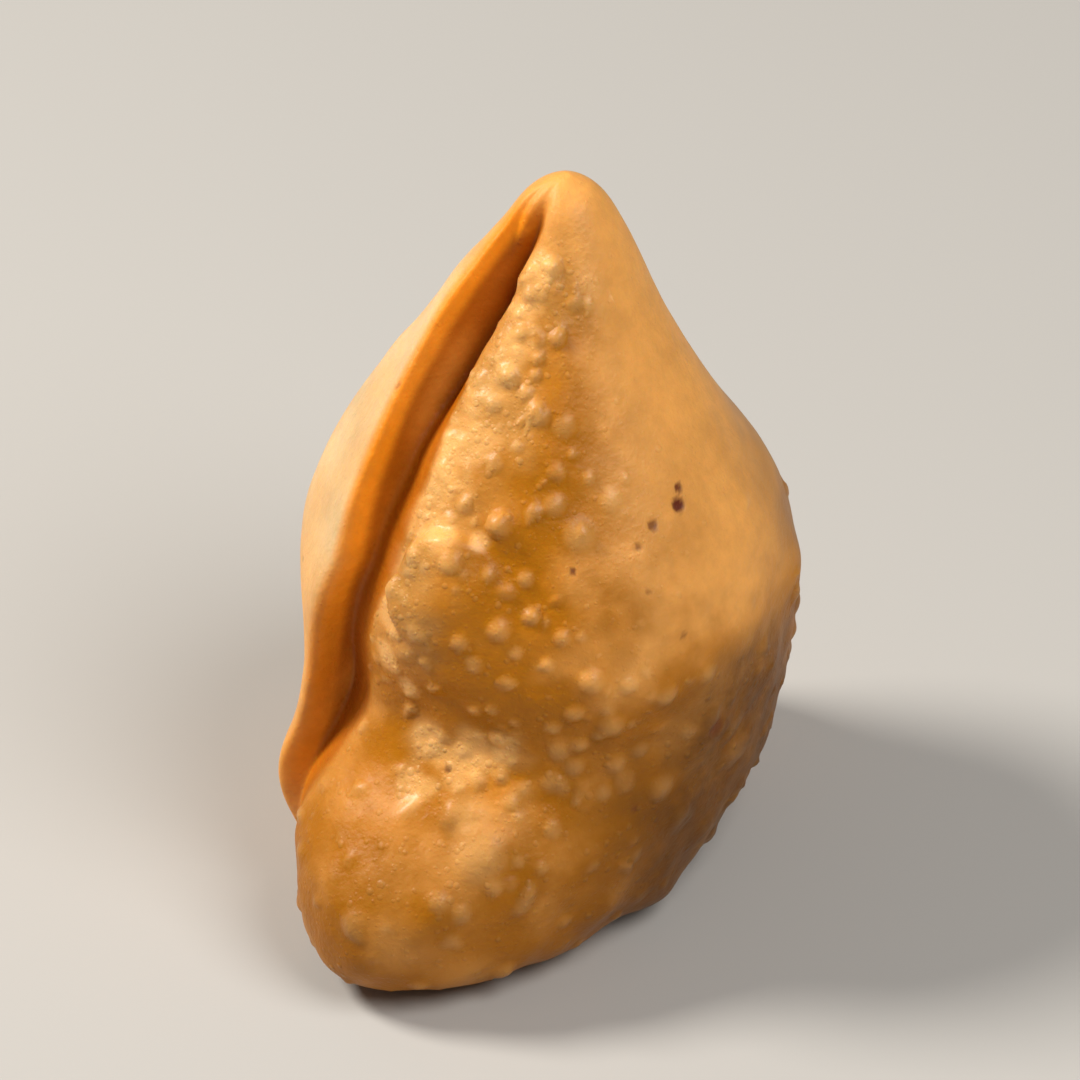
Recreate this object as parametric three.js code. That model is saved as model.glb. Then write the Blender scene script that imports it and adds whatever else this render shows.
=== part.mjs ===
// A fried samosa standing on its base with its point up: one shut pastry, so one solid.
// Millimetres, with +Z up and the origin under the middle of its bounding box.
// The base is long and pinched into two ears. The near ear points forward and left, and the far ear
// points backward and right. A thick fold of dough runs down the left side from the point to the base.

import * as THREE from "three";

// Driving sizes
const HEIGHT = 92;
const BASE_TURN = 55; // degrees from +X to the long way of the base
const LEAN_FAR = 8; // how far the point leans along the long way of the base
const LEAN_FOLD = 1.5; // and towards the side with the fold
const LEAN_POWER = 1.5; // above 1, so that the upper part leans most
const CRUST_COLOUR = 0xdb9a4e;

// Half-widths of the pastry from its middle line, at heights from the base to the point:
// to the near ear, to the far ear, to the side with the fold and to the plain side
const LEVELS = [
  { z: 0, near: 32, far: 29, fold: 13, plain: 15 },
  { z: 4.5, near: 39, far: 36, fold: 19, plain: 20.5 },
  { z: 13, near: 38.5, far: 36, fold: 22, plain: 24 },
  { z: 19, near: 34.5, far: 34.5, fold: 23.5, plain: 25.6 },
  { z: 25, near: 28, far: 33.2, fold: 24.6, plain: 26.8 },
  { z: 32, near: 24.6, far: 32.2, fold: 25.8, plain: 27.8 },
  { z: 41, near: 26.6, far: 31, fold: 26.8, plain: 28.2 },
  { z: 50, near: 26, far: 28.2, fold: 26.3, plain: 25.7 },
  { z: 61, near: 21.6, far: 21, fold: 21.6, plain: 19.5 },
  { z: 73.5, near: 13, far: 13.5, fold: 12.8, plain: 12.5 },
  { z: 83.3, near: 6.5, far: 8.5, fold: 6.8, plain: 8 },
  { z: 89.5, near: 3.8, far: 4.4, fold: 3.8, plain: 4.4 },
  { z: HEIGHT, near: 0, far: 0, fold: 0, plain: 0 },
];
// How square the outline is: 2 is an oval, and less is pinched to a point at each ear
const SQUARENESS_BASE = 1.72;
const SQUARENESS_BODY = 2.05;
const EAR_HEIGHT = 26;

// The fold from the base to the point: its turn round the pastry in degrees, its height, how far in
// front of its crest the groove runs, the groove's depth, and its slope up to the belly
const FOLD_PATH = [
  { z: 0, turn: 146, height: 0, gap: 1.4, groove: 0, valley: 3 },
  { z: 9, turn: 146, height: 0.8, gap: 1.4, groove: 0.4, valley: 4 },
  { z: 22, turn: 144, height: 3.4, gap: 1.4, groove: 1, valley: 6 },
  { z: 32, turn: 145.5, height: 5, gap: 1.4, groove: 1.4, valley: 6.5 },
  { z: 42, turn: 151, height: 3.2, gap: 1.4, groove: 1.9, valley: 5.5 },
  { z: 51, turn: 155.5, height: 3, gap: 1.4, groove: 1.9, valley: 5.3 },
  { z: 62, turn: 153, height: 3.8, gap: 2.4, groove: 2, valley: 3.4 },
  { z: 74, turn: 142, height: 4.4, gap: 3, groove: 3.4, valley: 2.1 },
  { z: 83, turn: 137, height: 3.3, gap: 3.8, groove: 3.6, valley: 2.1 },
  { z: 88, turn: 136, height: 1.6, gap: 6.5, groove: 3, valley: 2.6 },
  { z: HEIGHT, turn: 134, height: 0, gap: 7, groove: 0, valley: 2.6 },
];
const FOLD_FULL_HEIGHT = 4.4;
const FOLD_LEAN = 2.2; // how far the fold's crest hangs over its groove
const FOLD_BACK = 13; // the fold's long back slope
const FOLD_CREST = 4.2; // the short slope on top of it
const FOLD_FRONT = 1.1; // its steep front
const GROOVE_FRONT = 1.4; // the groove's slope under the fold
const FULL_SIZE_RADIUS = 10; // where the pastry is slimmer than this, the fold shrinks with it

// Blisters that frying raised, large enough to feel: those at set places, and the scattered ones
const PLACED_BLISTERS = [
  { z: 48, turn: 188, radius: 9.5, rise: 0.9 },
  { z: 57, turn: 186, radius: 3.4, rise: 0.7 },
  { z: 60, turn: 201, radius: 2.6, rise: 0.8 },
  { z: 23, turn: 205, radius: 4.4, rise: 0.9 },
  { z: 27, turn: 193, radius: 4, rise: 0.6 },
  { z: 15, turn: 196, radius: 4.6, rise: 0.7 },
  { z: 42, turn: 229, radius: 3, rise: 0.7 },
  { z: 40, turn: 243, radius: 3.4, rise: 0.7 },
  { z: 35, turn: 235, radius: 2.8, rise: 0.6 },
  { z: 30, turn: 262, radius: 4.2, rise: 0.8 },
  { z: 82, turn: 201, radius: 2.4, rise: 0.6 },
  { z: 77, turn: 197, radius: 2.8, rise: 0.7 },
];
const SCATTER = { count: 40, seed: 11, gap: 1.5 };
const SCATTER_HEIGHT = { from: 9, to: 76 };
const SCATTER_TURN = { from: 0, to: 360 };
const SCATTER_RADIUS = { from: 2.4, to: 5.2 };
const SCATTER_STEEPNESS = { from: 0.1, to: 0.2 }; // rise over radius
// Stretches of the side, by height and turn, that the scattered blisters keep off
const SMOOTH_PANELS = [
  { low: 0, high: HEIGHT, from: 95, to: 222 },
  { low: 40, high: HEIGHT, from: 222, to: 345 },
];

// The dough isn't quite even: slow swellings below the point, and waves along the edge of the foot.
// Each is a sum of waves round the pastry: how many, how high, their turn with height and their start.
const SWELLS = [
  { count: 2, height: 0.55, perMm: 1 / 13, start: 0 },
  { count: 3, height: 0.33, perMm: -1 / 8, start: 1 },
];
const SWELLS_END = { from: 70, to: 88 };
const FOOT_WAVES = [
  { count: 7, height: 0.45, perMm: 0, start: 0.6 },
  { count: 11, height: 0.32, perMm: 0, start: 2 },
];
const FOOT_HEIGHT = 14;
const BASE_EDGE_HEIGHT = 4.5;
const BASE_RELIEF = 0.3; // share of the relief left at the flat base

// The mesh: its columns are closest across the fold, and close over the blistered panel beside it
const ROWS = 62;
const COLUMNS = 92;
const BELLY_RADIUS = 29;
const HALF_GIRTH = Math.PI * BELLY_RADIUS;
const FOLD_COLUMNS = { extra: 4.2, middle: 1, width: 4 };
const PANEL_COLUMNS = { extra: 0.5, start: [4, 12], end: [45, 60] };
const FOLD_ZONE = { behind: -16, ahead: 13 }; // columns here keep their spacing at every height
const SHARE_STEPS = 2000;
const HALVINGS = 24;

const { clamp, lerp, smoothstep, degToRad } = THREE.MathUtils;
const bell = (x, width) => Math.exp(-((x / width) ** 2));

// A smooth curve through one column of a table, read by its place along the table
function tableCurve(rows, key) {
  const curve = new THREE.SplineCurve(rows.map((row, i) => new THREE.Vector2(i, row[key])));
  return (t) => curve.getPoint(clamp(t, 0, 1)).y;
}

const level = Object.fromEntries(
  ["z", "near", "far", "fold", "plain"].map((key) => [key, tableCurve(LEVELS, key)]),
);

// The fold's sizes at a height
function foldAt(z) {
  const above = FOLD_PATH.findIndex((row) => row.z >= z);
  const next = above < 1 ? 1 : above;
  const [a, b] = [FOLD_PATH[next - 1], FOLD_PATH[next]];
  const share = smoothstep(z, a.z, b.z);
  return {
    turn: degToRad(lerp(a.turn, b.turn, clamp((z - a.z) / (b.z - a.z), 0, 1))),
    height: lerp(a.height, b.height, share),
    gap: lerp(a.gap, b.gap, share),
    groove: lerp(a.groove, b.groove, share),
    valley: lerp(a.valley, b.valley, share),
  };
}

// A point of the plain body, without its fold: t from the base (0) to the point (1), and the turn
// round the pastry from the far ear
function bodyPoint(t, turn) {
  const z = level.z(t);
  const [c, s] = [Math.cos(turn), Math.sin(turn)];
  const long = Math.max(c >= 0 ? level.far(t) : level.near(t), Number.EPSILON);
  const wide = Math.max(s >= 0 ? level.fold(t) : level.plain(t), Number.EPSILON);
  const power = lerp(SQUARENESS_BASE, SQUARENESS_BODY, smoothstep(z, 0, EAR_HEIGHT));
  const radius = (Math.abs(c / long) ** power + Math.abs(s / wide) ** power) ** (-1 / power);
  const lean = (z / HEIGHT) ** LEAN_POWER;
  return new THREE.Vector3(radius * c + LEAN_FAR * lean, radius * s + LEAN_FOLD * lean, z);
}

function ringRadius(t) {
  return (level.near(t) + level.far(t) + level.fold(t) + level.plain(t)) / 4;
}

// The place from the base (0) to the point (1) where the side reaches a height
function placeAtHeight(z) {
  let [low, high] = [0, 1];
  for (let i = 0; i < HALVINGS; i++) {
    const middle = (low + high) / 2;
    if (level.z(middle) < z) low = middle;
    else high = middle;
  }
  return low;
}

// The same draws between 0 and 1 each time, from a seed
function randomDraws(seed) {
  const [factor, step, size] = [1664525, 1013904223, 2 ** 32];
  let state = seed;
  return () => {
    state = (state * factor + step) % size;
    return state / size;
  };
}

function placeBlister({ z, turn, radius, rise }) {
  return { center: bodyPoint(placeAtHeight(z), degToRad(turn)), radius, rise };
}

function allBlisters() {
  const blisters = PLACED_BLISTERS.map(placeBlister);
  const wanted = blisters.length + SCATTER.count;
  const draw = randomDraws(SCATTER.seed);
  const between = ({ from, to }) => lerp(from, to, draw());
  const inPanel = (p, z, turn) => z >= p.low && z <= p.high && turn >= p.from && turn <= p.to;
  while (blisters.length < wanted) {
    const radius = between(SCATTER_RADIUS);
    const z = between(SCATTER_HEIGHT);
    const turn = between(SCATTER_TURN);
    const rise = radius * between(SCATTER_STEEPNESS);
    if (SMOOTH_PANELS.some((panel) => inPanel(panel, z, turn))) continue;
    const blister = placeBlister({ z, turn, radius, rise });
    const reach = (other) => other.radius + radius + SCATTER.gap;
    if (blisters.some((other) => other.center.distanceTo(blister.center) < reach(other))) continue;
    blisters.push(blister);
  }
  return blisters;
}

function blisterRise(point, blisters) {
  const rises = blisters.map(({ center, radius, rise }) => {
    const share = point.distanceTo(center) / radius;
    return rise * Math.max(0, 1 - share ** 2);
  });
  return Math.max(...rises);
}

function waveSum(waves, z, turn) {
  const heights = waves.map((w) => w.height * Math.sin(w.count * turn + w.perMm * z + w.start));
  return heights.reduce((sum, height) => sum + height, 0);
}

function unevenness(z, turn) {
  const swells = waveSum(SWELLS, z, turn) * (1 - smoothstep(z, SWELLS_END.from, SWELLS_END.to));
  return swells + waveSum(FOOT_WAVES, z, turn) * (1 - smoothstep(z, 0, FOOT_HEIGHT));
}

// The way out of the body, and the way round it, at a point
function directionsAt(t, turn) {
  const [dT, dTurn] = [0.004, 0.01];
  const round = bodyPoint(t, turn + dTurn).sub(bodyPoint(t, turn - dTurn)).normalize();
  const up = bodyPoint(Math.min(t + dT, 1), turn).sub(bodyPoint(Math.max(t - dT, 0), turn));
  return { out: round.clone().cross(up).normalize(), round };
}

// The turn from the fold's crest at a place given in mm round the belly. The columns across the
// fold keep their spacing at every height, and the others share what is left of the ring.
function turnFromFold(place, radius) {
  const size = Math.min(1, radius / FULL_SIZE_RADIUS);
  const edge = place < 0 ? FOLD_ZONE.behind : FOLD_ZONE.ahead;
  const past = Math.abs(place) - Math.abs(edge);
  if (past <= 0) return (place * size) / radius;
  const edgeTurn = (edge * size) / radius;
  return lerp(edgeTurn, Math.sign(place) * Math.PI, past / (HALF_GIRTH - Math.abs(edge)));
}

// The fold's profile across it: 1 on its crest
function crestProfile(place) {
  if (place > 0) return bell(place, FOLD_FRONT);
  return (bell(place, FOLD_BACK) + bell(place, FOLD_CREST)) / 2;
}

function surfacePoint(t, place, blisters) {
  const z = level.z(t);
  const radius = ringRadius(t);
  const size = Math.min(1, radius / FULL_SIZE_RADIUS);
  const fold = foldAt(z);
  const turn = fold.turn + turnFromFold(place, radius);
  const point = bodyPoint(t, turn);
  const { out, round } = directionsAt(t, turn);
  const crest = crestProfile(place);
  const groove = bell(place - fold.gap, place < fold.gap ? GROOVE_FRONT : fold.valley);
  const foldRise = (fold.height * crest - fold.groove * groove) * size;
  const relief = foldRise + blisterRise(point, blisters) + unevenness(z, turn);
  const share = lerp(BASE_RELIEF, 1, smoothstep(z, 0, BASE_EDGE_HEIGHT));
  point.addScaledVector(out, relief * share);
  return point.addScaledVector(round, FOLD_LEAN * crest * (fold.height / FOLD_FULL_HEIGHT) * size);
}

// Places along a stretch with the same share of a density between each and the next
function sharedPlaces({ from, to, count, first }, density) {
  const step = (to - from) / SHARE_STEPS;
  const sums = [0];
  for (let i = 0; i < SHARE_STEPS; i++) sums.push(sums[i] + density(from + (i + 0.5) * step));
  const places = [];
  for (let n = 0, i = 0; n < count; n++) {
    const target = ((n + first) / count) * sums[SHARE_STEPS];
    while (sums[i + 1] < target) i++;
    places.push(from + (i + (target - sums[i]) / (sums[i + 1] - sums[i])) * step);
  }
  return places;
}

// Columns in mm round the belly from the fold's crest
function columnPlaces() {
  const { extra, middle, width } = FOLD_COLUMNS;
  const { start, end } = PANEL_COLUMNS;
  const panel = (p) => smoothstep(p, ...start) * (1 - smoothstep(p, ...end));
  const density = (p) => 1 + extra * bell(p - middle, width) + PANEL_COLUMNS.extra * panel(p);
  return sharedPlaces({ from: -HALF_GIRTH, to: HALF_GIRTH, count: COLUMNS, first: 0.5 }, density);
}

// Rows evenly spaced along the surface from the base's edge to the point
function rowPlaces() {
  const side = (t) => new THREE.Vector2(ringRadius(t), level.z(t));
  const reach = 0.5 / SHARE_STEPS;
  const density = (t) => side(t + reach).distanceTo(side(t - reach));
  return sharedPlaces({ from: 0, to: 1, count: ROWS, first: 0 }, density);
}

function sideTriangles(tip) {
  const triangles = [];
  const at = (row, column) => row * COLUMNS + (column % COLUMNS);
  for (let row = 0; row + 1 < ROWS; row++)
    for (let column = 0; column < COLUMNS; column++) {
      const [a, b] = [at(row, column), at(row, column + 1)];
      const [c, d] = [at(row + 1, column + 1), at(row + 1, column)];
      triangles.push(a, b, c, a, c, d);
    }
  for (let column = 0; column < COLUMNS; column++)
    triangles.push(at(ROWS - 1, column), at(ROWS - 1, column + 1), tip);
  return triangles;
}

function baseTriangles(ring) {
  const outline = ring.map((v) => new THREE.Vector2(v.x, v.y));
  return THREE.ShapeUtils.triangulateShape(outline, []).flatMap(([a, b, c]) => [a, c, b]);
}

function samosaGeometry() {
  const columns = columnPlaces();
  const blisters = allBlisters();
  const points = rowPlaces().flatMap((t) => columns.map((place) => surfacePoint(t, place, blisters)));
  const ring = points.slice(0, COLUMNS);
  for (const point of ring) point.z = 0;
  const tip = points.push(bodyPoint(1, 0)) - 1;
  const geometry = new THREE.BufferGeometry().setFromPoints(points);
  geometry.setIndex([...sideTriangles(tip), ...baseTriangles(ring)]);
  geometry.rotateZ(degToRad(BASE_TURN));
  geometry.computeBoundingBox();
  const middle = geometry.boundingBox.getCenter(new THREE.Vector3());
  geometry.translate(-middle.x, -middle.y, -geometry.boundingBox.min.z);
  geometry.computeVertexNormals();
  return geometry;
}

const crust = new THREE.MeshStandardMaterial({ color: CRUST_COLOUR, roughness: 0.5, metalness: 0 });
const samosa = new THREE.Mesh(samosaGeometry(), crust);
samosa.name = "samosa";

const part = new THREE.Group();
part.add(samosa);
export default part;
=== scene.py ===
"""A fried samosa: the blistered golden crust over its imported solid, and the stage it stands on."""

import math
from types import SimpleNamespace

import bpy
import numpy as np
from bpy.props import FloatProperty, FloatVectorProperty, IntProperty, PointerProperty
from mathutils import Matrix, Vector, noise


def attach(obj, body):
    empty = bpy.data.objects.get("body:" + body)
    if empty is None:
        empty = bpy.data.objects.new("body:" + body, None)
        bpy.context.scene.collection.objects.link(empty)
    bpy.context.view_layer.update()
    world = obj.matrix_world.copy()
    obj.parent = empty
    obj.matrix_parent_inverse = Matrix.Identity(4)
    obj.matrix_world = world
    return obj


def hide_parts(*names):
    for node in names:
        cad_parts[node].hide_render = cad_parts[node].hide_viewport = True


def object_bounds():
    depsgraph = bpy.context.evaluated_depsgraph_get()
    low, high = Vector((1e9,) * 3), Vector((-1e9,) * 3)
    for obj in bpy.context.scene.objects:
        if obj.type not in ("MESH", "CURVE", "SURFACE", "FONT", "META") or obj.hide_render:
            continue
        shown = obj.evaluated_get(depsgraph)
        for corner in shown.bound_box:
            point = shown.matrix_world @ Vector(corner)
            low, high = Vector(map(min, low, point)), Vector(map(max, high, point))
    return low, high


bl_info = {
    "name": "Fried samosa",
    "version": (1, 0, 0),
    "blender": (4, 5, 0),
    "location": "View3D > Sidebar > Samosa",
    "description": "Dresses the samosa's solid in a blistered golden crust and sets its stage",
    "category": "Object",
}

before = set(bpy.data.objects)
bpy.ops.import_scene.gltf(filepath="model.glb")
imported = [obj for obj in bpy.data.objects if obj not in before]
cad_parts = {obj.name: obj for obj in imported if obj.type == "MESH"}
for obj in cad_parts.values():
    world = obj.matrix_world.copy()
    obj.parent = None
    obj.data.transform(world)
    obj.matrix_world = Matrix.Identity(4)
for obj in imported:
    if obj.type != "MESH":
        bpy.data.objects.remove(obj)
SOLID_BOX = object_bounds()
SOLID = "samosa"
MM = 0.001

# The pastry's own directions: the long way of its base from +X, and how its point leans
LONG_WAY = math.radians(55)
LEAN_ALONG = 8 * MM
LEAN_ACROSS = 1.5 * MM
LEAN_POWER = 1.5

# Turns round the pastry are in degrees from the far ear. They begin on the back, at the first turn,
# and the front shows most at the front turn
FIRST_TURN = 30
FRONT_TURN = 205

# The edge of the fold: height up the pastry in mm, and turn round it
FOLD_EDGE = [
    (0, 146), (22, 147), (32, 151), (42, 154), (51, 159), (62, 158), (74, 152), (83, 147), (92, 136),
]

# How far forwards from the fold's edge the groove's shaded slope reaches, at such heights, in mm
SHADED_SLOPE = [(0, 4), (36, 4.2), (51, 4), (62, 4.3), (74, 2.6), (92, 2)]
# How deep the groove lies under the fold's edge, in mm
GROOVE_DEPTH = 4.6

# The edge's distance from the middle is read in rings of one height, from a narrow band, in mm
RING_HEIGHT = 2
EDGE_BAND = 1.5
# The stretch that is worn round, from behind the fold's edge to in front of it, in mm
WORN_STRETCH = (-3, 0.8)
WEAR_STEPS = 14

# Relief fades in between these heights, so that the base stays flat
BASE_FADE = (0.3 * MM, 4 * MM)
# Slow swellings of the dough: height, size and seed
SWELLINGS = [(0.45 * MM, 8 * MM, 11), (0.25 * MM, 3.6 * MM, 13)]

# The photograph's view: its scale, and the pixel over the middle of the pastry's base
PHOTO_ELEVATION = math.radians(36)
TOWARDS_CAMERA = Vector((0, -math.cos(PHOTO_ELEVATION), math.sin(PHOTO_ELEVATION)))
PHOTO_UP = Vector((0, math.sin(PHOTO_ELEVATION), math.cos(PHOTO_ELEVATION)))
PHOTO_RIGHT = Vector((1, 0, 0))
MM_PER_PIXEL = 0.2818
BASE_PIXEL = (751, 643)

# Blisters seen from the front, in the photograph's pixels: across, down, radius, steepness
FRONT_BLISTERS = [
    (756, 400, 4.6, 0.5), (747, 411, 4.2, 0.45), (743, 427, 4.2, 0.45), (758, 429, 4.2, 0.5),
    (750, 437, 2.8, 0.5), (739, 444, 3.4, 0.5), (749, 444, 2.8, 0.45), (734, 437, 2.4, 0.4),
    (732, 456, 3.8, 0.4), (745, 451, 3.6, 0.35), (751, 461, 4.4, 0.4), (764, 476, 2.4, 0.35),
    (720, 497, 3.8, 0.5), (734, 505, 6.2, 0.5), (757, 497, 5.4, 0.22), (767, 509, 8.0, 0.12),
    (771, 486, 3.0, 0.3), (786, 486, 2.4, 0.3), (780, 495, 5.6, 0.14), (730, 525, 3.6, 0.3),
    (745, 527, 4.0, 0.3), (747, 542, 4.4, 0.35), (734, 548, 5.6, 0.35), (741, 557, 3.6, 0.4),
    (760, 551, 4.0, 0.45), (718, 553, 4.4, 0.3), (754, 562, 3.6, 0.35), (772, 569, 6.2, 0.4),
    (787, 570, 5.0, 0.4), (803, 575, 6.0, 0.25), (780, 587, 6.6, 0.35), (765, 582, 5.0, 0.35),
    (775, 591, 3.4, 0.4), (767, 595, 4.6, 0.35), (734, 592, 4.8, 0.4), (782, 603, 5.2, 0.35),
    (756, 610, 5.6, 0.2), (732, 654, 4.6, 0.3), (726, 641, 13, 0.15), (742, 625, 3.0, 0.3),
    (721, 624, 12, 0.13), (756, 588, 4.2, 0.3), (801, 613, 7.5, 0.15), (765, 604, 5.0, 0.25),
    (766, 618, 2.8, 0.35), (719, 665, 5.0, 0.25), (709, 660, 5.0, 0.22), (744, 613, 4.0, 0.3),
    (735, 608, 4.0, 0.28), (756, 630, 4.6, 0.2), (777, 615, 4.0, 0.25), (792, 597, 4.4, 0.3),
    (812, 590, 4.0, 0.25), (742, 643, 3.6, 0.25), (752, 646, 3.2, 0.3), (820, 566, 5.0, 0.2),
]
# How much higher they all stand than their steepness says
BLISTER_LIFT = 1.25

# The wide flat blister on the belly's left, in the same pixels, which stands out at its rim
FRONT_PILLOW = (715, 536, 30)
PILLOW_RIM = (698, 520, 44)
PILLOW_RISE = 1.8 * MM

# Dark specks where a blister burst, in the same pixels: across, down, radius, darkness
FRONT_SPECKS = [
    (807.5, 496.6, 3.6, 1.0), (807.5, 489.6, 2.4, 0.9), (797, 505, 2.7, 0.75), (791, 514, 1.9, 0.6),
    (764.4, 523.6, 1.6, 0.8), (810, 550, 1.8, 0.5), (824, 588.5, 5.0, 0.55), (713, 605.5, 1.9, 0.7),
    (653, 519, 1.6, 0.4), (693, 448, 1.5, 0.4), (795, 532, 1.4, 0.4), (790, 622, 1.6, 0.5),
]
# How deep they sink, as a share of their radius
SPECK_DEPTH = 0.25

# Frothy stretches with dense fine blisters, in the same pixels: across, down, radius. On the pillow's
# upper-left rim and on the lobe's top they also pale the dough as a painted highlight
FRONT_FROTH = [
    (752, 402, 9), (745, 416, 10), (737, 434, 12), (729, 452, 14), (720, 470, 15), (712, 488, 14),
    (704, 503, 14), (692, 520, 10), (690, 540, 11), (688, 558, 9), (697, 572, 6),
    (705, 596, 13), (720, 600, 14), (738, 598, 10), (700, 612, 10), (694, 519, 6),
    (702, 513, 7), (713, 511, 7), (726, 512, 5),
]

# Scattered blisters in layers: their spacing's setting, their mask, the share of cells that have
# one, the smallest and largest radius as shares of a cell, and the steepness
BLISTER_LAYERS = [
    ("wide_cell", "blistered", 0.3, 0.2, 0.42, 0.22),
    ("middle_cell", "blistered", 0.55, 0.2, 0.46, 0.36),
    ("froth_cell", "froth", 0.95, 0.36, 0.6, 0.26),
]
# How far noise pushes the cells out of their grid, as a share of a cell
CELL_SWIRL = 0.7

COLOURS = ["Dough", "Amber", "Pale", "Tan", "Fold", "Groove", "Toast_and_shade", "Speck"]
MASKS = ["amber mask", "tan mask", "fold mask", "groove shade mask", "toast mask", "speck mask"]
MASKS += ["froth", "blister", "blistered"]

# The colour's noise, in waves a metre, and how pale each kind of bubble is on top: drier dough, and
# partly a painted highlight
PATCH_WAVES = 110
FRECKLE_WAVES = 420
PALE_TOPS_AND_HIGHLIGHTS = {"pimples": 0.15, "blister": 0.3, "froth": 0.36}

# The oil's shine: the least there is anywhere, and what blisters and froth add
LEAST_OIL = 0.03
BUBBLE_OIL = 0.2

# The stage, in metres: the floor's width, and where the lights are and how wide
FLOOR_WIDTH = 6
KEY_PLACE = (-0.6, 0.12, 0.68)
KEY_WIDTH = 0.28
KEY_COLOUR = (1, 0.97, 0.92)
FILL_PLACE = (0.42, -0.4, 0.8)
FILL_WIDTH = 0.6
ROOM_COLOUR = (1, 0.98, 0.95)
ROOM_STRENGTH = 0.14


def linear(red, green, blue):
    """A colour given in 8-bit sRGB, as the linear values that Blender's colours hold."""
    shares = [value / 255 for value in (red, green, blue)]
    return [s / 12.92 if s <= 0.04045 else ((s + 0.055) / 1.055) ** 2.4 for s in shares]


def colour_prop(name, description, *value):
    return FloatVectorProperty(
        name=name, description=description, subtype="COLOR", size=3, min=0, max=1, default=linear(*value)
    )


def length_prop(name, description, value):
    return FloatProperty(
        name=name, description=description, subtype="DISTANCE", unit="LENGTH", min=0, default=value
    )


class SamosaCrust(bpy.types.PropertyGroup):
    """The crust's colours and the sizes of its blisters."""

    dough: colour_prop("Dough", "Smooth golden dough", 233, 163, 82)
    amber: colour_prop("Amber", "Oily dough between the blisters", 186, 113, 3)
    # Pale: dry dough on the tops of blisters and froth, partly a painted highlight on those tops
    pale: colour_prop("Pale", "Dry tops of blisters and froth", 236, 188, 118)
    tan: colour_prop("Tan", "Dry dough on the fold's back", 224, 187, 134)
    # Fold: the orange of the fold's face, partly a painted glow of light bounced in the fold
    fold: colour_prop("Fold", "Face of the fold over its groove", 236, 138, 20)
    # Groove: painted shade, for the groove's dark bottom, the shadow that the fold's edge casts on the
    # slope in front, and the shaded low end of the fold's face
    groove: colour_prop("Groove", "Bottom of the groove by the fold", 152, 72, 4)
    # Browned dough, also used as painted shade on the low right side, its rim at the right edge and the
    # low front of the near ear
    toast_and_shade: colour_prop("Toast_and_shade", "Well browned dough", 98, 57, 4)
    speck: colour_prop("Speck", "Burst blisters", 104, 44, 22)
    detail: IntProperty(name="Detail", description="Subdivision levels", min=0, max=2, default=2)
    wide_cell: length_prop("Wide cell", "Spacing of the wide blisters", 6.2 * MM)
    middle_cell: length_prop("Middle cell", "Spacing of the middling blisters", 3.4 * MM)
    froth_cell: length_prop("Froth cell", "Spacing of the blisters in the froth", 2.0 * MM)
    pimple: length_prop("Pimple", "Spacing of the fine pimples", 1.15 * MM)


class SamosaStage(bpy.types.PropertyGroup):
    """The floor, the lights and the camera."""

    floor: colour_prop("Floor", "Pale floor", 184, 180, 174)
    distance: length_prop("Distance", "Camera to the pastry", 1.2)
    view_height: length_prop("View height", "Height that the picture takes in", 0.126)
    key: FloatProperty(name="Key light", description="Watts from upper left", min=0, default=8.9)
    fill: FloatProperty(name="Fill light", description="Watts from the front", min=0, default=6.7)


def smoothstep(x, low, high):
    share = np.clip((x - low) / (high - low), 0, 1)
    return share * share * (3 - 2 * share)


def select_only(piece):
    bpy.ops.object.select_all(action="DESELECT")
    piece.select_set(True)
    bpy.context.view_layer.objects.active = piece


def places_of(piece):
    places = np.empty(len(piece.data.vertices) * 3)
    piece.data.vertices.foreach_get("co", places)
    return places.reshape(-1, 3)


def add_mask(piece, name, values):
    mask = piece.data.attributes.new(name, "FLOAT", "POINT")
    mask.data.foreach_set("value", np.clip(values, 0, 1).astype(np.float32))


def at_height(table, height):
    """A value read from pairs of a height and a value, both in the table's own units."""
    return np.interp(height, *zip(*table))


def round_the_pastry(places):
    """Height in mm, turn in degrees, and distance in mm from the leaning middle."""
    low, high = SOLID_BOX
    tip = places[places[:, 2].argmax()]
    height = (places[:, 2] - low.z) / (high.z - low.z)
    lean = np.clip(height, 0, 1) ** LEAN_POWER - 1
    along = np.array([math.cos(LONG_WAY), math.sin(LONG_WAY)])
    across = np.array([-along[1], along[0]])
    middle = tip[:2] + np.outer(lean, LEAN_ALONG * along + LEAN_ACROSS * across)
    out = places[:, :2] - middle
    turn = (np.degrees(np.arctan2(out @ across, out @ along)) - FIRST_TURN) % 360 + FIRST_TURN
    return places[:, 2] / MM, turn, np.hypot(out[:, 0], out[:, 1]) / MM


def from_fold(places):
    """Distances in mm from the fold's edge: forwards round the pastry, and in below the edge."""
    height, turn, radius = round_the_pastry(places)
    ahead = np.radians(turn - at_height(FOLD_EDGE, height)) * radius
    ring = np.round(height / RING_HEIGHT).astype(int)
    edge = np.abs(ahead) < EDGE_BAND
    edge_radius = np.zeros(ring.max() + 1)
    np.maximum.at(edge_radius, ring[edge], radius[edge])
    depth = np.interp(height / RING_HEIGHT, np.arange(len(edge_radius)), edge_radius) - radius
    return ahead, depth


def seen_at(piece, across, down):
    """The place and the outward direction of the surface seen at a pixel of the photograph."""
    scale = MM_PER_PIXEL * MM
    beside = PHOTO_RIGHT * (across - BASE_PIXEL[0]) * scale
    above = PHOTO_UP * (BASE_PIXEL[1] - down) * scale
    hit, place, normal, _ = piece.ray_cast(beside + above + TOWARDS_CAMERA, -TOWARDS_CAMERA)
    if not hit:
        raise RuntimeError(f"nothing of {piece.name} is seen at {across}, {down}")
    return place, normal


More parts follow.
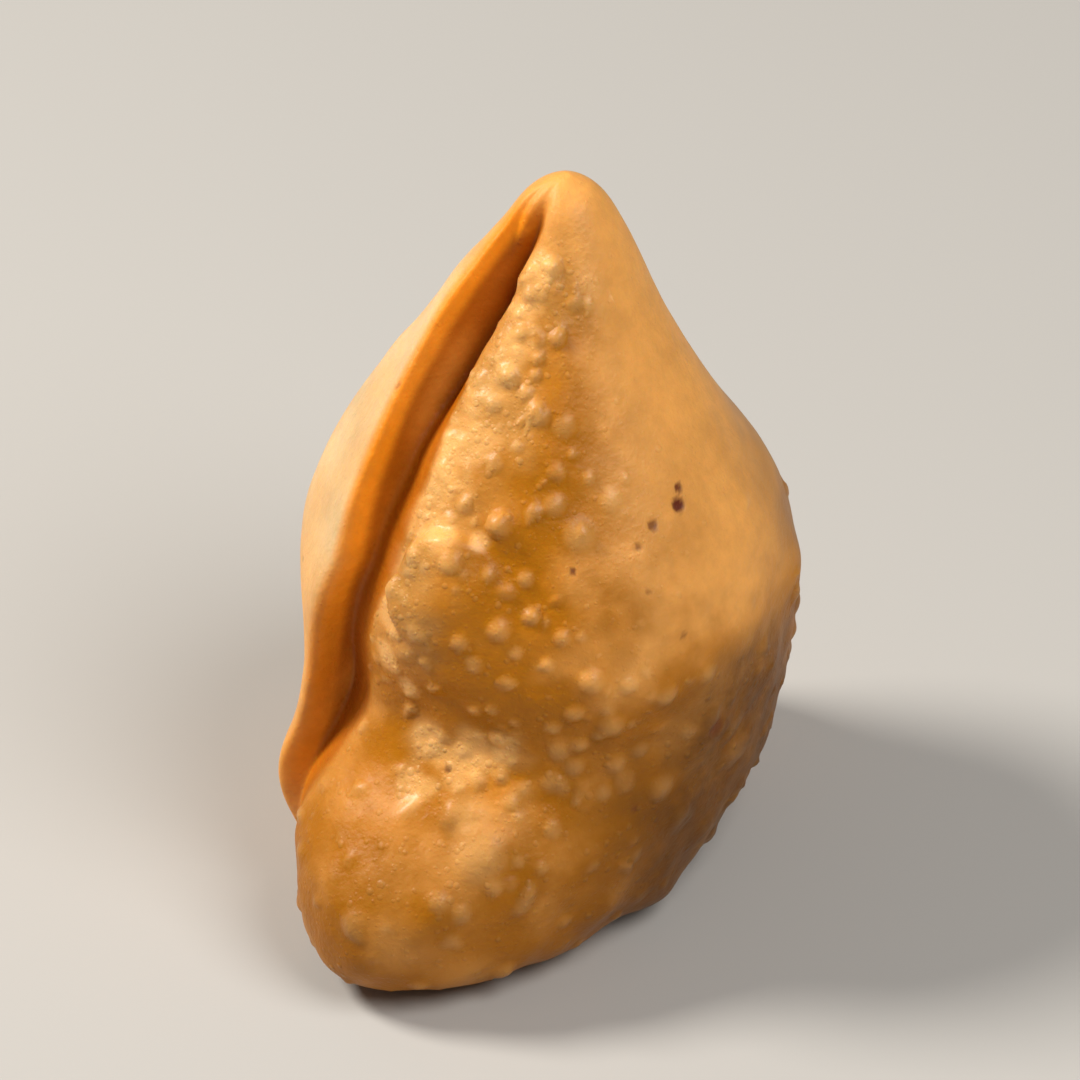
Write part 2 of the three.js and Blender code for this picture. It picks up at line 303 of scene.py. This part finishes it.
def spot_at(piece, places, across, down, pixels):
    """A round spot seen at a pixel: how many radii each place is from it, its normal, its radius."""
    centre, normal = seen_at(piece, across, down)
    radius = pixels * MM_PER_PIXEL * MM
    return np.linalg.norm(places - np.array(centre), axis=1) / radius, np.array(normal), radius


def slow_noise(places, size, seed):
    """Noise over the surface in swellings of one size, about -1 to 1."""
    shift = Vector((seed, 2 * seed, 3 * seed))
    return np.array([noise.noise(Vector(place) / size + shift) for place in places])


def feed(tree, made, values):
    """Gives a node's inputs their values or links."""
    for key, value in values.items():
        if isinstance(value, bpy.types.NodeSocket):
            tree.links.new(value, made.inputs[key])
        else:
            made.inputs[key].default_value = value


def node(tree, kind, values=(), **settings):
    """A new node, with settings of its own and values or links for its inputs."""
    made = tree.nodes.new(kind)
    for name, value in settings.items():
        setattr(made, name, value)
    feed(tree, made, dict(values))
    return made


def maths(tree, operation, *values, clamp=False):
    kind = "ShaderNodeMath"
    return node(tree, kind, enumerate(values), operation=operation, use_clamp=clamp).outputs[0]


def vector_maths(tree, operation, values):
    return node(tree, "ShaderNodeVectorMath", values, operation=operation).outputs[0]


def mapped(tree, value, low, high, to_low=0.0, to_high=1.0, smooth=True):
    """A value brought from one range to another."""
    kind = "SMOOTHSTEP" if smooth else "LINEAR"
    values = {"Value": value, "From Min": low, "From Max": high, "To Min": to_low, "To Max": to_high}
    return node(tree, "ShaderNodeMapRange", values, interpolation_type=kind).outputs[0]


def mixed(tree, share, first, second, blend="MIX"):
    values = {0: share, 6: first, 7: second}
    return node(tree, "ShaderNodeMix", values, data_type="RGBA", blend_type=blend).outputs[2]


def dome_over(tree, distance, radius):
    """A round dome's height at a distance from its middle, from 1 down to 0 at its radius."""
    reach = maths(tree, "DIVIDE", distance, radius)
    return maths(tree, "SUBTRACT", 1.0, maths(tree, "MULTIPLY", reach, reach), clamp=True)


def stored(tree, name):
    """A mask that the mesh carries, in a geometry tree."""
    kind = "GeometryNodeInputNamedAttribute"
    return node(tree, kind, {"Name": name}, data_type="FLOAT").outputs[0]


def opaque(colour):
    return (*colour, 1)


def new_group(name, kind, inputs, outputs):
    """A node group with its sockets, its input node and its output node."""
    group = bpy.data.node_groups.new(name, kind)
    for label, socket, value in inputs:
        made = group.interface.new_socket(label, in_out="INPUT", socket_type=socket)
        if value is not None:
            made.default_value = value
    for label, socket in outputs:
        group.interface.new_socket(label, in_out="OUTPUT", socket_type=socket)
    return group, group.nodes.new("NodeGroupInput"), group.nodes.new("NodeGroupOutput")


def blister_tree():
    """Raises uneven blisters of mixed sizes out of a mesh, as many as a mask allows."""
    inputs = [
        ("Geometry", "NodeSocketGeometry", None),
        ("Cell", "NodeSocketFloat", 2 * MM),
        ("Mask", "NodeSocketString", "froth"),
        ("Share", "NodeSocketFloat", 1.0),
        ("Smallest", "NodeSocketFloat", 0.2),
        ("Largest", "NodeSocketFloat", 0.45),
        ("Steepness", "NodeSocketFloat", 0.5),
    ]
    outputs = [("Geometry", "NodeSocketGeometry")]
    tree, given, out = new_group("Blisters", "GeometryNodeTree", inputs, outputs)
    tree.is_modifier = True
    cell = given.outputs["Cell"]
    scale = maths(tree, "DIVIDE", 1.0, cell)
    where = node(tree, "GeometryNodeInputPosition").outputs[0]
    swirl = node(tree, "ShaderNodeTexNoise", {"Vector": where, "Scale": scale, "Detail": 1})
    swirl = vector_maths(tree, "SUBTRACT", {0: swirl.outputs["Color"], 1: (0.5, 0.5, 0.5)})
    swirl = vector_maths(tree, "SCALE", {0: swirl, "Scale": maths(tree, "MULTIPLY", cell, CELL_SWIRL)})
    twisted = vector_maths(tree, "ADD", {0: where, 1: swirl})
    cells = node(tree, "ShaderNodeTexVoronoi", {"Vector": twisted, "Scale": scale})
    draws = node(tree, "ShaderNodeSeparateXYZ", {0: cells.outputs["Color"]})
    sizes = {"To Min": given.outputs["Smallest"], "To Max": given.outputs["Largest"]}
    radius = node(tree, "ShaderNodeMapRange", {"Value": draws.outputs[0], **sizes}).outputs[0]
    chance = maths(tree, "MULTIPLY", stored(tree, given.outputs["Mask"]), given.outputs["Share"])
    there = maths(tree, "LESS_THAN", draws.outputs[1], chance)
    dome = maths(tree, "MULTIPLY", dome_over(tree, cells.outputs["Distance"], radius), there)
    level = node(tree, "ShaderNodeSeparateXYZ", {0: where}).outputs[2]
    dome = maths(tree, "MULTIPLY", dome, mapped(tree, level, *BASE_FADE))
    size = maths(tree, "MULTIPLY", radius, cell)
    rise = maths(tree, "MULTIPLY", maths(tree, "MULTIPLY", size, given.outputs["Steepness"]), dome)
    normal = node(tree, "GeometryNodeInputNormal").outputs[0]
    offset = vector_maths(tree, "SCALE", {0: normal, "Scale": rise})
    moved = node(tree, "GeometryNodeSetPosition", {"Geometry": given.outputs[0], "Offset": offset})
    highest = maths(tree, "MAXIMUM", stored(tree, "blister"), dome)
    values = {"Geometry": moved.outputs[0], "Name": "blister", "Value": highest}
    kept = node(tree, "GeometryNodeStoreNamedAttribute", values, data_type="FLOAT", domain="POINT")
    tree.links.new(kept.outputs[0], out.inputs[0])
    return tree


def raise_blisters(piece, tree, **values):
    """One layer of scattered blisters, applied."""
    select_only(piece)
    layer = piece.modifiers.new("Blisters", "NODES")
    layer.node_group = tree
    names = {item.name: item.identifier for item in tree.interface.items_tree if item.in_out == "INPUT"}
    for name, value in values.items():
        layer[names[name]] = value
    bpy.ops.object.modifier_apply(modifier=layer.name)


def dough_group():
    """Mottled dough colour from its masks, in patches and freckles, with its roughness and oil."""
    inputs = [(name, "NodeSocketColor", None) for name in COLOURS]
    inputs += [(name, "NodeSocketFloat", 0.0) for name in MASKS]
    inputs += [("pimples", "NodeSocketFloat", 0.0), ("Place", "NodeSocketVector", None)]
    outputs = [("Color", "NodeSocketColor"), ("Roughness", "NodeSocketFloat"), ("Oil", "NodeSocketFloat")]
    tree, given, out = new_group("Fried dough", "ShaderNodeTree", inputs, outputs)
    source = given.outputs
    coarse = {"Vector": source["Place"], "Scale": PATCH_WAVES, "Detail": 4}
    patches = node(tree, "ShaderNodeTexNoise", coarse).outputs[0]
    fine = {"Vector": source["Place"], "Scale": FRECKLE_WAVES, "Detail": 6, "Roughness": 0.65}
    freckles = node(tree, "ShaderNodeTexNoise", fine).outputs[0]
    colour = mixed(tree, source["tan mask"], source["Dough"], source["Tan"])
    ragged = maths(tree, "MULTIPLY_ADD", mapped(tree, patches, 0.35, 0.68), 0.4, -0.2)
    oily = mapped(tree, maths(tree, "ADD", source["amber mask"], ragged), 0.05, 0.95)
    colour = mixed(tree, oily, colour, source["Amber"])
    # Paler tops of pimples, blisters and froth: partly drier dough, partly painted highlight
    tops = 0.0
    for name, share in PALE_TOPS_AND_HIGHLIGHTS.items():
        tops = maths(tree, "MULTIPLY_ADD", source[name], share, tops)
    colour = mixed(tree, tops, colour, source["Pale"])
    # The fold's orange face, partly a painted glow of light bounced in the fold
    colour = mixed(tree, source["fold mask"], colour, source["Fold"])
    # Painted shade in the groove, painted shadow on the slope in front of it, and painted shade at the
    # fold's low end
    colour = mixed(tree, source["groove shade mask"], colour, source["Groove"])
    crisp = mapped(tree, freckles, 0.25, 0.7, 0.75, 1.0)
    # Browning, with painted shade on the low right side, its right-edge rim and the near ear's low front
    colour = mixed(tree, maths(tree, "MULTIPLY", source["toast mask"], crisp), colour, source["Toast_and_shade"])
    freckled = mapped(tree, freckles, 0.3, 0.7, 0.94, 1.06)
    tone = maths(tree, "MULTIPLY", freckled, mapped(tree, patches, 0.3, 0.7, 1.05, 0.9))
    colour = mixed(tree, 1.0, colour, tone, blend="MULTIPLY")
    colour = mixed(tree, source["speck mask"], colour, source["Speck"])
    roughness = mapped(tree, patches, 0.3, 0.7, 0.52, 0.4)
    roughness = maths(tree, "MULTIPLY_ADD", source["froth"], -0.08, roughness)
    bubbly = maths(tree, "MAXIMUM", source["blister"], source["froth"])
    oil = maths(tree, "MULTIPLY_ADD", bubbly, BUBBLE_OIL, LEAST_OIL)
    feed(tree, out, {"Color": colour, "Roughness": roughness, "Oil": oil})
    return tree


def pimple_domes(tree, place, scale, share, smallest, largest):
    """Round domes of mixed sizes, one in a share of a pattern's cells."""
    cells = node(tree, "ShaderNodeTexVoronoi", {"Vector": place, "Scale": scale})
    draws = node(tree, "ShaderNodeSeparateColor", {0: cells.outputs["Color"]})
    radius = mapped(tree, draws.outputs[0], 0.0, 1.0, smallest, largest, smooth=False)
    dome = dome_over(tree, cells.outputs["Distance"], radius)
    there = maths(tree, "LESS_THAN", draws.outputs[1], share)
    return maths(tree, "MULTIPLY", maths(tree, "MULTIPLY", dome, radius), there)


def pores_group():
    """Pimples and pores too fine for the mesh: how high they stand, and where the pimples are."""
    inputs = [("Place", "NodeSocketVector", None), ("Pimple", "NodeSocketFloat", 1.2 * MM)]
    inputs += [("froth", "NodeSocketFloat", 0.0), ("blistered", "NodeSocketFloat", 0.0)]
    outputs = [("Height", "NodeSocketFloat"), ("Pimples", "NodeSocketFloat")]
    tree, given, out = new_group("Pores and pimples", "ShaderNodeTree", inputs, outputs)
    place = given.outputs["Place"]
    scale = maths(tree, "DIVIDE", 1.0, given.outputs["Pimple"])
    few = maths(tree, "MULTIPLY", given.outputs["blistered"], 0.28)
    share = maths(tree, "MAXIMUM", few, given.outputs["froth"])
    pimples = pimple_domes(tree, place, scale, share, 0.15, 0.5)
    fine_scale = maths(tree, "MULTIPLY", scale, 2.1)
    fine_share = maths(tree, "MULTIPLY_ADD", share, 0.7, 0.12)
    fine = pimple_domes(tree, place, fine_scale, fine_share, 0.2, 0.5)
    grain_scale = maths(tree, "MULTIPLY", scale, 1.6)
    grain = node(tree, "ShaderNodeTexNoise", {"Vector": place, "Scale": grain_scale, "Detail": 5})
    height = maths(tree, "MULTIPLY_ADD", fine, 0.4, pimples)
    height = maths(tree, "MULTIPLY_ADD", grain.outputs[0], 0.45, height)
    # How much the pimples' tops are made paler: partly painted highlight
    tops = maths(tree, "MULTIPLY_ADD", fine, 0.6, maths(tree, "MULTIPLY", pimples, 1.8))
    feed(tree, out, {"Height": height, "Pimples": tops})
    return tree


def crust_material(settings):
    """Oily golden dough, read from the masks on the crust."""
    material = bpy.data.materials.new("golden_crust")
    material.use_nodes = True
    tree = material.node_tree
    place = node(tree, "ShaderNodeTexCoord").outputs["Object"]
    kind = "ShaderNodeAttribute"
    masks = {name: node(tree, kind, attribute_name=name).outputs["Fac"] for name in MASKS}
    values = {"Place": place, "Pimple": settings.pimple}
    values |= {name: masks[name] for name in ("froth", "blistered")}
    pores = node(tree, "ShaderNodeGroup", values, node_tree=pores_group())
    values = {name: opaque(getattr(settings, name.lower())) for name in COLOURS}
    values |= {**masks, "Place": place, "pimples": pores.outputs["Pimples"]}
    dough = node(tree, "ShaderNodeGroup", values, node_tree=dough_group())
    values = {"Height": pores.outputs["Height"], "Distance": 0.5 * MM, "Strength": 0.6}
    bump = node(tree, "ShaderNodeBump", values)
    finish = {
        "Base Color": dough.outputs["Color"],
        "Roughness": dough.outputs["Roughness"],
        "Normal": bump.outputs[0],
        "Specular IOR Level": 0.18,
        "Coat Weight": dough.outputs["Oil"],
        "Coat Roughness": 0.28,
        "Subsurface Weight": 0.3,
        "Subsurface Radius": (1, 0.38, 0.1),
        "Subsurface Scale": 1.0 * MM,
    }
    feed(tree, tree.nodes["Principled BSDF"], finish)
    return material


def dough_mesh(levels):
    """The solid's mesh, merged into quads and smoothed."""
    piece = bpy.data.objects.new("samosa_crust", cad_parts[SOLID].data.copy())
    bpy.context.scene.collection.objects.link(piece)
    piece.data.materials.clear()
    select_only(piece)
    bpy.ops.object.mode_set(mode="EDIT")
    bpy.ops.mesh.select_all(action="SELECT")
    bpy.ops.mesh.customdata_custom_splitnormals_clear()
    bpy.ops.mesh.remove_doubles(threshold=0.001 * MM)
    bpy.ops.mesh.tris_convert_to_quads(face_threshold=math.pi, shape_threshold=math.pi)
    bpy.ops.object.mode_set(mode="OBJECT")
    smooth = piece.modifiers.new("Smooth dough", "SUBSURF")
    smooth.levels = levels
    smooth.render_levels = levels
    bpy.ops.object.modifier_apply(modifier=smooth.name)
    bpy.ops.object.shade_smooth()
    return piece


def round_fold_edge(piece):
    """Wears the fold's edge rounder, as soft dough has it."""
    ahead, _ = from_fold(places_of(piece))
    behind, before = WORN_STRETCH
    edge = piece.vertex_groups.new(name="fold edge")
    for index in np.flatnonzero((ahead > behind) & (ahead < before)):
        edge.add([int(index)], 1, "REPLACE")
    select_only(piece)
    wear = piece.modifiers.new("Round edge", "SMOOTH")
    wear.vertex_group = edge.name
    wear.factor = 0.5
    wear.iterations = WEAR_STEPS
    bpy.ops.object.modifier_apply(modifier=wear.name)
    piece.vertex_groups.clear()


def survey(places):
    """Where each place lies, in mm and degrees, and how slow noise runs over it.

    What the front doesn't show is hidden, and all but the pastry's smooth point is below the tip.
    """
    height, turn, _ = round_the_pastry(places)
    ahead, depth = from_fold(places)
    return SimpleNamespace(
        height=height,
        turn=turn,
        ahead=ahead,
        depth=depth,
        slope=at_height(SHADED_SLOPE, height),
        hidden=smoothstep(np.abs(turn - FRONT_TURN), 128, 150),
        below_tip=1 - smoothstep(height, 80, 89),
        broad=slow_noise(places, size=17 * MM, seed=3),
        narrow=slow_noise(places, size=8 * MM, seed=5),
        ragged=slow_noise(places, size=3 * MM, seed=7),
    )


def oily_stretches(at):
    """The panel in front of the groove, the low front, and patches of the back."""
    panel = (1 - smoothstep(at.turn + 16 * at.narrow, 216, 248)) * smoothstep(at.ahead, 0, 1)
    panel *= smoothstep(at.height, 24, 40)
    low = (1 - smoothstep(at.height + 9 * at.broad, 34, 60)) * smoothstep(at.ahead, 0, 1)
    low *= 1 - at.hidden
    back = smoothstep(at.broad + 0.4 * at.narrow, -0.25, 0.45) * at.hidden
    return panel, low, back


def fold_stretches(at):
    """The fold's orange face, partly a painted glow of light bounced in the fold, and painted shade: in
    its groove, as the shadow that its edge casts on the slope beside it, and at its low end.
    """
    reach = smoothstep(at.height, 8, 22) * (1 - smoothstep(at.height, 87, 91))
    # The fold's face, its orange partly a painted glow
    face = smoothstep(at.ahead, -2.4, -0.2) * (1 - smoothstep(at.ahead, 0.4 * at.slope, 1.1 * at.slope))
    # Painted shade darkening the bottom of the groove under the fold's edge
    deep = smoothstep(at.depth, 0.5 * GROOVE_DEPTH, GROOVE_DEPTH) * smoothstep(at.ahead, -1.4, -0.6)
    deep *= 1 - smoothstep(at.ahead, 0.3, 1.1 * at.slope)
    # Painted shadow that the fold's edge casts on the slope in front of it
    beside = 1 - smoothstep(at.ahead + 0.6 * at.ragged, 0.7 * at.slope, 1.2 * at.slope)
    beside *= smoothstep(at.ahead, 0, 1)
    # Painted shade on the low end of the fold's face
    low_end = face * (1 - smoothstep(at.height, 30, 56))
    return face * reach, np.maximum.reduce([0.85 * deep, 0.6 * beside, 0.45 * low_end]) * reach


def browned_and_shaded_stretches(at, back):
    """Browning and painted shade: the browned foot and patches of the back, and the low right side, its
    rim and the near ear, which are partly browned and partly painted shade.
    """
    foot = 0.5 * (1 - smoothstep(at.height + 5 * at.narrow, 1, 13))
    # The low right side: partly browning, partly painted shade
    side = smoothstep(at.turn + 10 * at.narrow, 200, 262)
    side *= 1 - smoothstep(at.turn + 22 * at.broad + 14 * at.narrow + 8 * at.ragged, 306, 352)
    side *= 1 - smoothstep(at.height + 8 * at.narrow + 5 * at.broad + 6 * at.ragged, 22, 54)
    # A rim along the right edge, where the surface turns from the light: partly browning, partly painted
    # shade
    rim = smoothstep(at.turn, 280, 312) * (1 - smoothstep(at.turn, 335, 355))
    rim *= 0.5 * (1 - smoothstep(at.height + 6 * at.narrow + 4 * at.ragged, 44, 70))
    # The low front of the near ear: partly browning, partly painted shade
    ear = 0.35 * (1 - smoothstep(at.height + 5 * at.narrow, 12, 34)) * (1 - at.hidden)
    ear *= smoothstep(at.ahead, 0, 3)
    return np.maximum.reduce([foot, 0.95 * side, rim, ear, 0.2 * back])


def spots_mask(piece, places, spots, ragged):
    """A mask with a soft ragged dab at each spot seen from the front."""
    mask = np.zeros(len(places))
    for spot in spots:
        away, _, _ = spot_at(piece, places, *spot)
        mask = np.maximum(mask, 1 - smoothstep(away + ragged, 0.2, 1.25))
    return mask


def mask_crust(piece):
    """Masks for the dough's stretches, and for how many blisters each may have."""
    places = places_of(piece)
    at = survey(places)
    panel, low, back = oily_stretches(at)
    fold, groove = fold_stretches(at)
    toast_and_shade = browned_and_shaded_stretches(at, back)
    # Froth dabs, whose paleness on the pillow's upper-left rim and the lobe's top is partly painted
    # highlight
    dabs = spots_mask(piece, places, FRONT_FROTH, 0.5 * at.ragged)
    amber = np.maximum.reduce([panel, (0.75 + 0.5 * at.narrow) * low, 0.6 * back]) * at.below_tip
    tan = (1 - smoothstep(at.ahead, -2.6, -0.2)) * smoothstep(at.ahead, -30, -14)
    tan *= smoothstep(at.height, 36, 58) * (1 - smoothstep(at.height, 76, 86))
    strip = 1 - smoothstep(at.ahead + 5 * at.narrow + 3 * at.ragged, 7, 17)
    strip *= smoothstep(at.height, 36, 50) * at.below_tip
    past_slope = smoothstep(at.ahead + 0.8 * at.ragged, 0.75 * at.slope, 1.15 * at.slope)
    front_froth = np.maximum(0.8 * strip, dabs) * past_slope
    back_froth = 0.6 * back * smoothstep(at.narrow, 0, 0.4) * at.below_tip
    plain = smoothstep(at.turn, 238, 262) * smoothstep(at.height, 36, 46) * (1 - at.hidden)
    clear = np.maximum(past_slope, smoothstep(-at.ahead, 16, 30))
    blistered = (0.3 + 0.7 * np.maximum.reduce([panel, low, back])) * clear
    masks = {
        # Froth dabs take amber away: paler froth, partly painted highlight on the pillow's rim and the
        # lobe's top
        "amber mask": amber * (1 - 0.85 * dabs),
        "tan mask": tan * (0.85 + 0.4 * at.narrow),
        "froth": np.maximum(front_froth, back_froth),
        # The fold's face, partly painted glow
        "fold mask": fold,
        # The groove's painted shade and shadow
        "groove shade mask": groove,
        # Browning, and painted shade at the low right and the near ear
        "toast mask": toast_and_shade * (1 - 0.7 * dabs),
        "blistered": blistered * at.below_tip * (1 - 0.85 * plain),
        "blister": np.zeros(len(places)),
        "speck mask": np.zeros(len(places)),
    }
    for name, values in masks.items():
        add_mask(piece, name, values)


def make_uneven(piece):
    """Swells and dents the dough slowly, most where it is blistered, and raises the wide pillow."""
    places = places_of(piece)
    normals = np.empty(places.size)
    piece.data.vertices.foreach_get("normal", normals)
    blistered = np.empty(len(places), dtype=np.float32)
    piece.data.attributes["blistered"].data.foreach_get("value", blistered)
    rise = sum(height * slow_noise(places, size, seed) for height, size, seed in SWELLINGS)
    rise *= (0.15 + 0.85 * blistered) * smoothstep(places[:, 2], *BASE_FADE)
    from_pillow, _, _ = spot_at(piece, places, *FRONT_PILLOW)
    from_rim, _, _ = spot_at(piece, places, *PILLOW_RIM)
    wavy = 0.12 * slow_noise(places, size=5 * MM, seed=17)
    pillow = 1 - smoothstep(from_pillow + wavy, 0.86, 1.03)
    rise += PILLOW_RISE * pillow * (1 - smoothstep(from_rim, 0.35, 1))
    moved = places + normals.reshape(-1, 3) * rise[:, None]
    piece.data.vertices.foreach_set("co", moved.ravel())
    piece.data.update()


def press_front_marks(piece):
    """Raises the blisters that the front shows, and sinks the specks where others burst."""
    places = places_of(piece)
    blister = np.zeros(len(places))
    speck = np.zeros(len(places))
    moved = places.copy()
    for across, down, pixels, steepness in FRONT_BLISTERS:
        away, normal, radius = spot_at(piece, places, across, down, pixels)
        dome = np.clip(1 - away**2, 0, 1)
        moved += np.outer(dome * radius * steepness * BLISTER_LIFT, normal)
        blister = np.maximum(blister, dome)
    for across, down, pixels, darkness in FRONT_SPECKS:
        away, normal, radius = spot_at(piece, places, across, down, pixels)
        moved -= np.outer(np.clip(1 - away**2, 0, 1) * radius * SPECK_DEPTH, normal)
        speck = np.maximum(speck, (1 - smoothstep(away, 0.6, 1.1)) * darkness)
    piece.data.vertices.foreach_set("co", moved.ravel())
    piece.data.attributes["blister"].data.foreach_set("value", blister.astype(np.float32))
    piece.data.attributes["speck mask"].data.foreach_set("value", speck.astype(np.float32))
    piece.data.update()


class SAMOSA_OT_crust(bpy.types.Operator):
    """Make the blistered crust in place of the plain solid"""

    bl_idname = "samosa.crust"
    bl_label = "Make Crust"

    def execute(self, context):
        settings = context.scene.samosa_crust
        crust = dough_mesh(settings.detail)
        round_fold_edge(crust)
        context.view_layer.update()
        mask_crust(crust)
        make_uneven(crust)
        context.view_layer.update()
        press_front_marks(crust)
        tree = blister_tree()
        names = ("Mask", "Share", "Smallest", "Largest", "Steepness")
        for spacing, *values in BLISTER_LAYERS:
            raise_blisters(crust, tree, Cell=getattr(settings, spacing), **dict(zip(names, values)))
        crust.data.materials.append(crust_material(settings))
        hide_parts(SOLID)
        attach(crust, "root")
        return {"FINISHED"}


def area_light(name, place, target, width, power, colour=(1, 1, 1)):
    """A round soft light that shines from a place to a target."""
    light = bpy.data.lights.new(name, "AREA")
    light.shape = "DISK"
    light.size = width
    light.energy = power
    light.color = colour
    lamp = bpy.data.objects.new(name, light)
    lamp.location = place
    lamp.rotation_euler = (Vector(target) - Vector(place)).to_track_quat("-Z", "Y").to_euler()
    bpy.context.scene.collection.objects.link(lamp)


def lay_floor(colour, height):
    """A wide pale floor, for the render alone."""
    bpy.ops.object.select_all(action="DESELECT")
    bpy.ops.mesh.primitive_plane_add(size=FLOOR_WIDTH, location=(0, 0, height))
    floor = bpy.context.object
    floor.name = "floor"
    paint = bpy.data.materials.new("pale_floor")
    paint.use_nodes = True
    shader = paint.node_tree.nodes["Principled BSDF"]
    feed(paint.node_tree, shader, {"Base Color": opaque(colour), "Roughness": 0.7})
    floor.data.materials.append(paint)


def light_room():
    """Soft light from all round."""
    world = bpy.data.worlds.new("soft_room")
    world.use_nodes = True
    values = {"Color": opaque(ROOM_COLOUR), "Strength": ROOM_STRENGTH}
    feed(world.node_tree, world.node_tree.nodes["Background"], values)
    bpy.context.scene.world = world
    bpy.context.scene.view_settings.view_transform = "Standard"


def place_camera(target, distance, view_height):
    """The camera at the photograph's angle, aimed at a target."""
    view = bpy.data.cameras.new("camera")
    view.lens = view.sensor_width * distance / view_height
    camera = bpy.data.objects.new("camera", view)
    camera.location = target + TOWARDS_CAMERA * distance
    camera.rotation_euler = (math.pi / 2 - PHOTO_ELEVATION, 0, 0)
    bpy.context.scene.collection.objects.link(camera)
    bpy.context.scene.camera = camera


class SAMOSA_OT_stage(bpy.types.Operator):
    """Set the floor, the lights and the camera"""

    bl_idname = "samosa.stage"
    bl_label = "Set Stage"

    def execute(self, context):
        settings = context.scene.samosa_stage
        low, high = SOLID_BOX
        middle = (low + high) / 2
        lay_floor(settings.floor, low.z)
        area_light("key", KEY_PLACE, middle, KEY_WIDTH, settings.key, KEY_COLOUR)
        area_light("fill", FILL_PLACE, middle, FILL_WIDTH, settings.fill)
        light_room()
        place_camera(middle, settings.distance, settings.view_height)
        return {"FINISHED"}


class SAMOSA_PT_panel(bpy.types.Panel):
    """Sizes, colours and steps of the samosa"""

    bl_idname = "SAMOSA_PT_panel"
    bl_label = "Samosa"
    bl_space_type = "VIEW_3D"
    bl_region_type = "UI"
    bl_category = "Samosa"

    def draw(self, context):
        for settings in (context.scene.samosa_crust, context.scene.samosa_stage):
            for name in settings.__annotations__:
                self.layout.prop(settings, name)
        self.layout.operator("samosa.crust")
        self.layout.operator("samosa.stage")


CLASSES = (SamosaCrust, SamosaStage, SAMOSA_OT_crust, SAMOSA_OT_stage, SAMOSA_PT_panel)


def register():
    for kind in CLASSES:
        bpy.utils.register_class(kind)
    bpy.types.Scene.samosa_crust = PointerProperty(type=SamosaCrust)
    bpy.types.Scene.samosa_stage = PointerProperty(type=SamosaStage)


def unregister():
    del bpy.types.Scene.samosa_stage
    del bpy.types.Scene.samosa_crust
    for kind in reversed(CLASSES):
        bpy.utils.unregister_class(kind)


def main():
    register()
    bpy.ops.samosa.crust()
    bpy.ops.samosa.stage()


if __name__ == "__main__":
    main()
